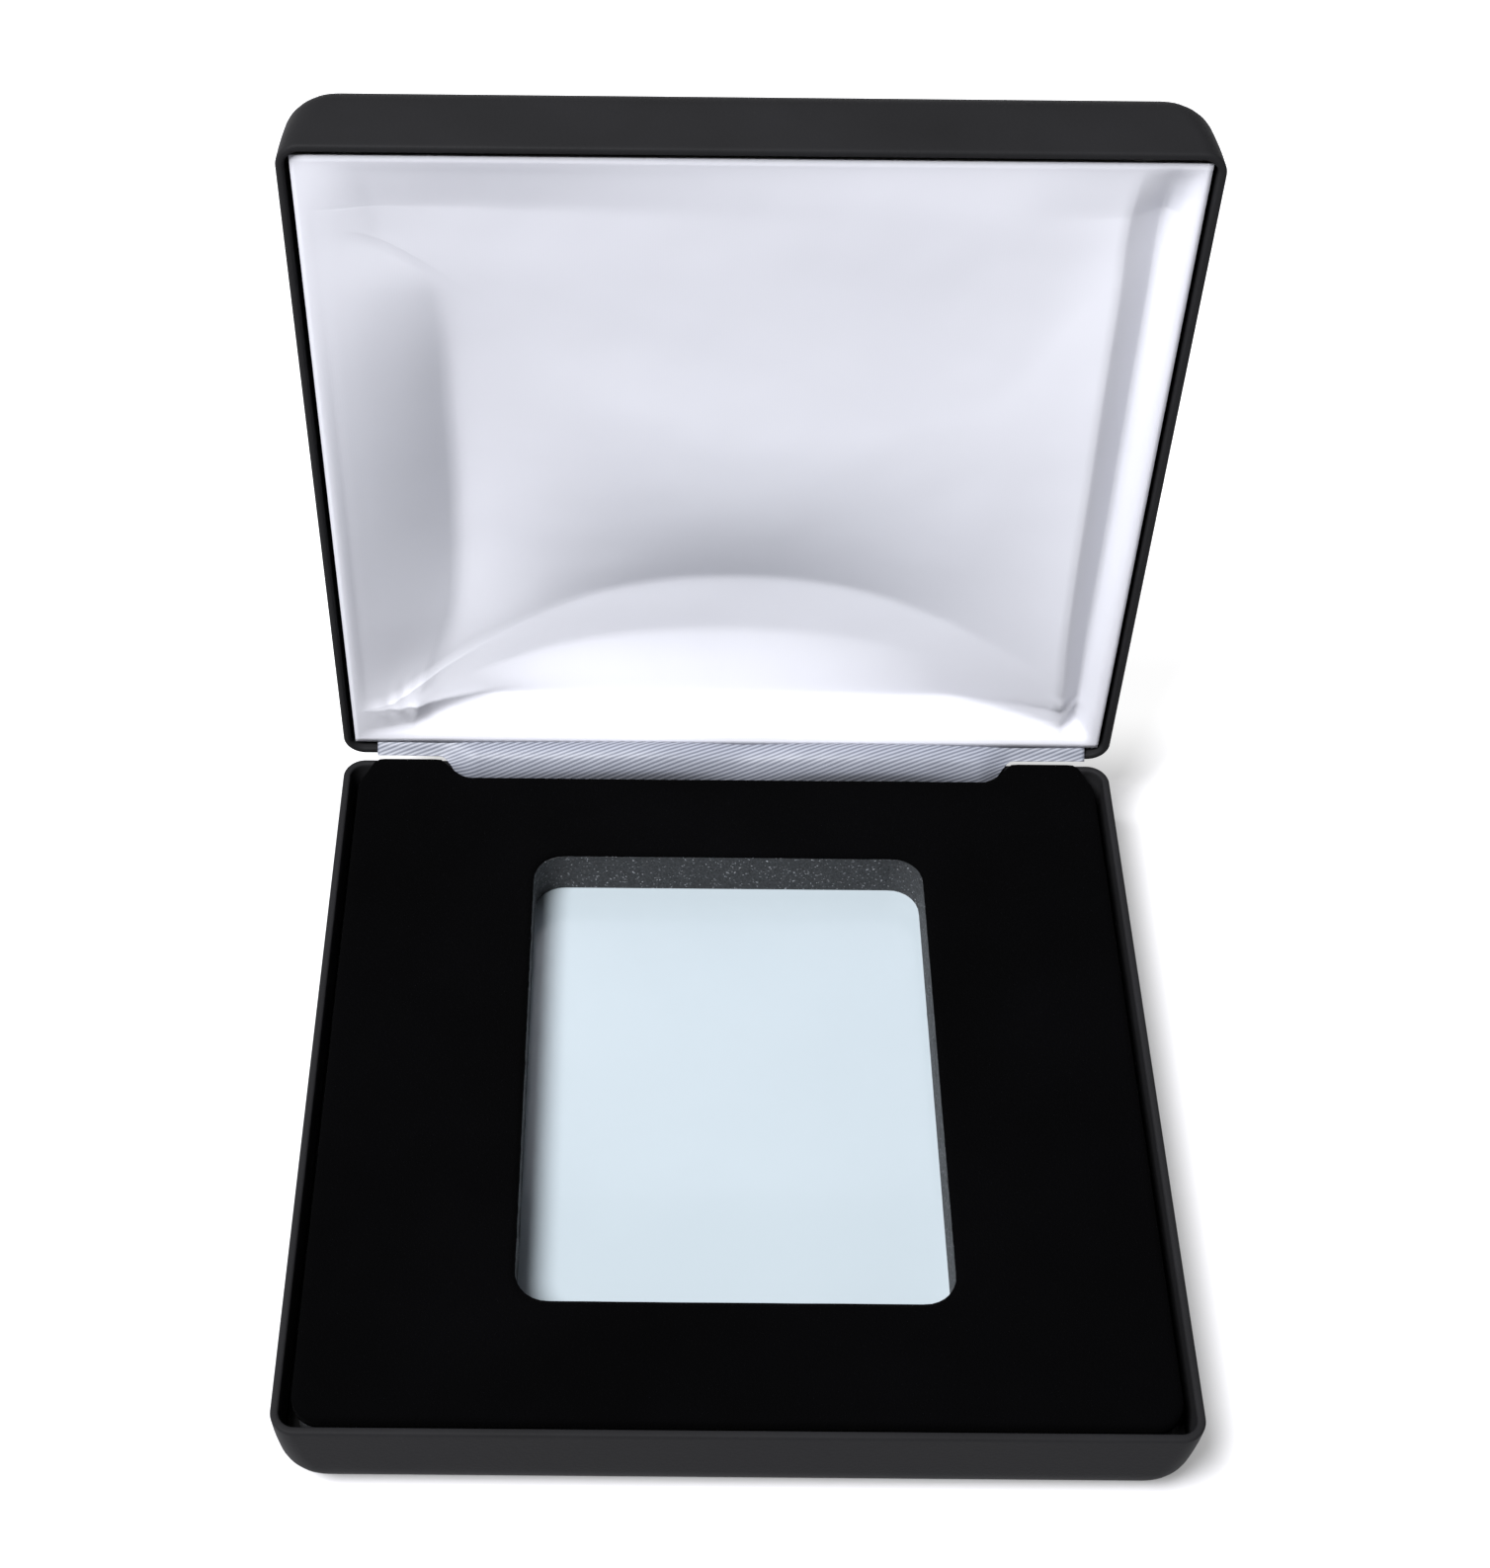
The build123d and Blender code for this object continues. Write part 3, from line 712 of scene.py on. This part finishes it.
for fall in insert["falls"]:
    result = bmesh.ops.extrude_edge_only(mesh, edges=outer)
    outer = [e for e in result["geom"] if isinstance(e, bmesh.types.BMEdge)]
    for vertex in {v for e in outer for v in e.verts}:
        vertex.co.z -= fall * mm * (1 - (1 - ear["fallKept"]) * onEar(vertex.co.x / mm, vertex.co.y / mm))
bmesh.ops.recalc_face_normals(mesh, faces=mesh.faces[:])
velvetPiece = finishPiece("insert_velvet_face", mesh, nylonFlock, "base")
thicken(velvetPiece, insert["thickness"])
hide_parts("insert_velvet")
print("insert velvet:", len(velvetPiece.data.polygons), "faces")


# Cloth over the hinge, in mm. Its paths give y and z of the outer face at lengths from under the lid's lining,
# over the hinge and down behind the insert; beside the hinge it ends on the rim.
hingeCloth = {"left": -49.3, "right": 50.6, "thickness": 0.22, "columns": 230, "rows": 44, "run": 13,
              "sideRun": 3.9, "sideFade": (35.2, 40.5), "freeFrom": (0.5, 2.5), "freeTo": (6.5, 9),
              "wave": 0.3, "lift": 0.3, "lean": 0.5, "waves": [(1, 11, 6.0), (0.35, 4, 8.0)],
              "billow": [(-50, 0.0), (-27, 0.1), (-11, 1.1), (3, 0.1), (17, 1.2), (33, 0.1), (51, 0.0)],
              "overHinge": [(0, 54.2, 16.97), (1, 53.2, 16.97), (2, 52.2, 16.97), (3.1, 51.1, 16.92),
                            (4.2, 50.2, 16.6), (5.2, 49.6, 15.9), (6.2, 49.15, 15.05), (7.2, 48.9, 14.1),
                            (9, 48.8, 12.4), (13, 48.78, 8.7)],
              "beside": [(0, 54.2, 16.97), (1, 53.3, 16.9), (2, 52.6, 16.5), (3.1, 51.9, 15.8),
                         (4.2, 51.2, 15.25), (5.2, 50.6, 14.95), (6.2, 50.34, 14.4), (7.2, 50.26, 13.5),
                         (9, 50.24, 12), (13, 50.24, 8.7)]}


def onPath(name, along, k):  # k is 1 for y and 2 for z
    return through([(point[0], point[k]) for point in hingeCloth[name]], along)


mesh = bmesh.new()
bmesh.ops.create_grid(mesh, x_segments=hingeCloth["columns"], y_segments=hingeCloth["rows"], size=1)
flat = {}
for vertex in mesh.verts:
    x = hingeCloth["left"] + (vertex.co.x + 1) / 2 * (hingeCloth["right"] - hingeCloth["left"])
    side = fade(abs(x), *hingeCloth["sideFade"])
    along = (1 - vertex.co.y) / 2 * (hingeCloth["run"] + (hingeCloth["sideRun"] - hingeCloth["run"]) * side)
    y, z = (onPath("overHinge", along, k) * (1 - side) + onPath("beside", along, k) * side for k in (1, 2))
    free = fade(along, *hingeCloth["freeFrom"]) * (1 - fade(along, *hingeCloth["freeTo"]))
    lift = hingeCloth["wave"] * free * (hingeCloth["lift"] + ripple(x, along, hingeCloth["waves"]))
    lift += free * through(hingeCloth["billow"], x)
    flat[vertex] = (x, along)
    vertex.co = Vector((x, y - hingeCloth["lean"] * lift, z + max(0, lift))) * mm
layUvs(mesh, flat)
bmesh.ops.recalc_face_normals(mesh, faces=mesh.faces[:])
if sum(f.normal.z for f in mesh.faces) < 0:
    bmesh.ops.reverse_faces(mesh, faces=mesh.faces[:])
clothPiece = finishPiece("hinge_cover_cloth", mesh, ribbedSatinPaintedShade)
thicken(clothPiece, hingeCloth["thickness"])
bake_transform(clothPiece)
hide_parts("hinge_cloth")
print("hinge cloth:", len(clothPiece.data.polygons), "faces")


# Studio: lengths in metres, lamp power in watts.
studio = {"floor": "#bcbcc0", "floorHalf": 6, "glow": "#ffffff", "glowFrom": 0.052, "glowRun": 0.024,
          "nearGlow": 0.3, "farGlow": 0.95, "floorPlain": {"Roughness": 0.9, "Specular IOR Level": 0.1},
          "world": "#ffffff", "worldStrength": 0.07, "keySize": 0.5, "keyPower": 25.5,
          "keyPlace": (-0.39, -0.31, 0.95), "keyAim": (0, 0, 0.03)}

# Paper sweep: matt pale grey. Where it is looked at it glows more and more away from the case, so it reads as
# white and keeps the near shadow.
paperSweep, tree, shader, place = newMaterial("paperSweep")
shader.inputs["Base Color"].default_value = tint(studio["floor"])
shader.inputs["Emission Color"].default_value = tint(studio["glow"])
for name, value in studio["floorPlain"].items():
    shader.inputs[name].default_value = value
path = addNode(tree, "ShaderNodeLightPath")
seen = addNode(tree, "ShaderNodeMath", {0: path.outputs["Is Camera Ray"], 1: path.outputs["Is Glossy Ray"]},
               operation="MAXIMUM")
away = farthestSide(tree, place)
spread = addNode(tree, "ShaderNodeMapRange", {"Value": away, "From Min": studio["glowFrom"],
                                              "From Max": studio["glowFrom"] + studio["glowRun"],
                                              "To Min": studio["nearGlow"], "To Max": studio["farGlow"]},
                 interpolation_type="SMOOTHSTEP")
glow = addNode(tree, "ShaderNodeMath", {0: seen.outputs[0], 1: spread.outputs[0]}, operation="MULTIPLY")
tree.links.new(glow.outputs[0], shader.inputs["Emission Strength"])
mesh = bmesh.new()
bmesh.ops.create_grid(mesh, x_segments=1, y_segments=1, size=studio["floorHalf"])
floor = finishPiece("floor", mesh, paperSweep, smooth=False)

# Plain white surroundings: dim as a light, white where they are looked at.
world = bpy.data.worlds.new("studio")
world.use_nodes = True
bpy.context.scene.world = world
tree = world.node_tree
path = addNode(tree, "ShaderNodeLightPath")
glow = addNode(tree, "ShaderNodeMapRange", {"Value": path.outputs["Is Camera Ray"],
                                            "To Min": studio["worldStrength"], "To Max": 1.0})
tree.nodes["Background"].inputs["Color"].default_value = tint(studio["world"])
tree.links.new(glow.outputs[0], tree.nodes["Background"].inputs["Strength"])

lamp = bpy.data.lights.new("keyLamp", "AREA")
lamp.shape, lamp.size, lamp.energy = "DISK", studio["keySize"], studio["keyPower"]
holder = bpy.data.objects.new("keyLamp", lamp)
holder.location = studio["keyPlace"]
towards = Vector(studio["keyAim"]) - Vector(studio["keyPlace"])
holder.rotation_euler = towards.to_track_quat("-Z", "Y").to_euler()
bpy.context.scene.collection.objects.link(holder)
print("studio lit")

bpy.context.view_layer.update()
